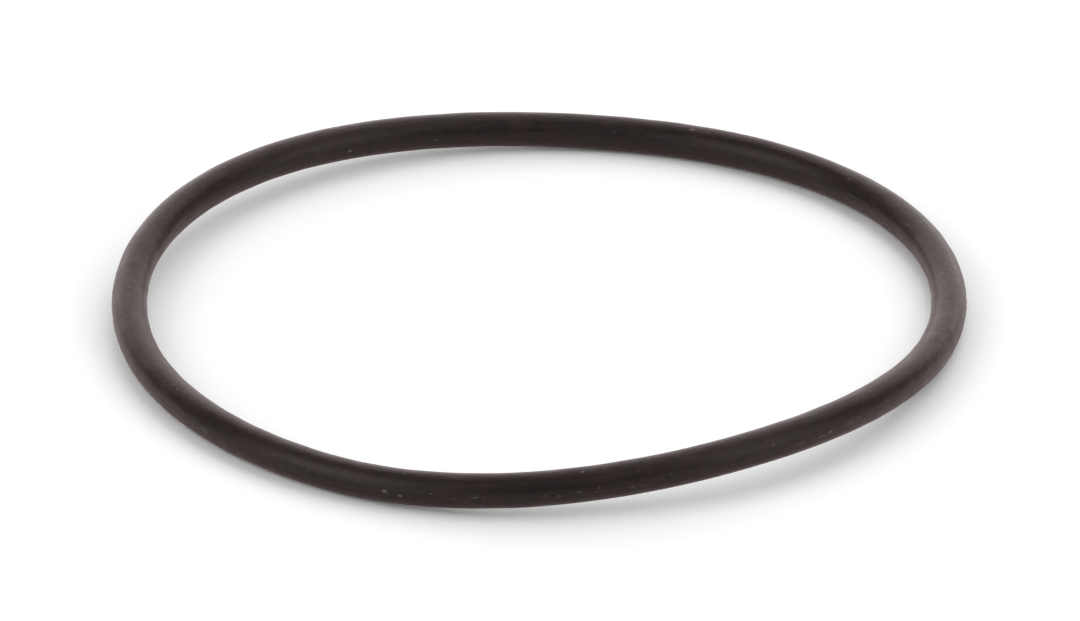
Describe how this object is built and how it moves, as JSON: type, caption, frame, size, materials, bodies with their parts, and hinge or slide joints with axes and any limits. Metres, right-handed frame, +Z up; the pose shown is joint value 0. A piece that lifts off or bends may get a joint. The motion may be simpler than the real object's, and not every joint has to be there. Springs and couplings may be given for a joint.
{
  "type": "rubber o-ring",
  "caption": "Round-section rubber sealing ring that sits in a groove and seals a shaft, pipe or lid; it lies loose with a slight natural arch.",
  "frame": {"origin": "middle of the ring's box on the surface that it lies on", "axes": "+Z up, along the ring's own axis; +X to the viewer's right and +Y away from the viewer"},
  "size_m": [0.1302, 0.1316, 0.0085],
  "materials": {
    "black_rubber": "semi-matte moulded rubber, warm brown-black"
  },
  "bodies": {
    "root": {"o_ring": "black_rubber"}
  },
  "joints": []
}
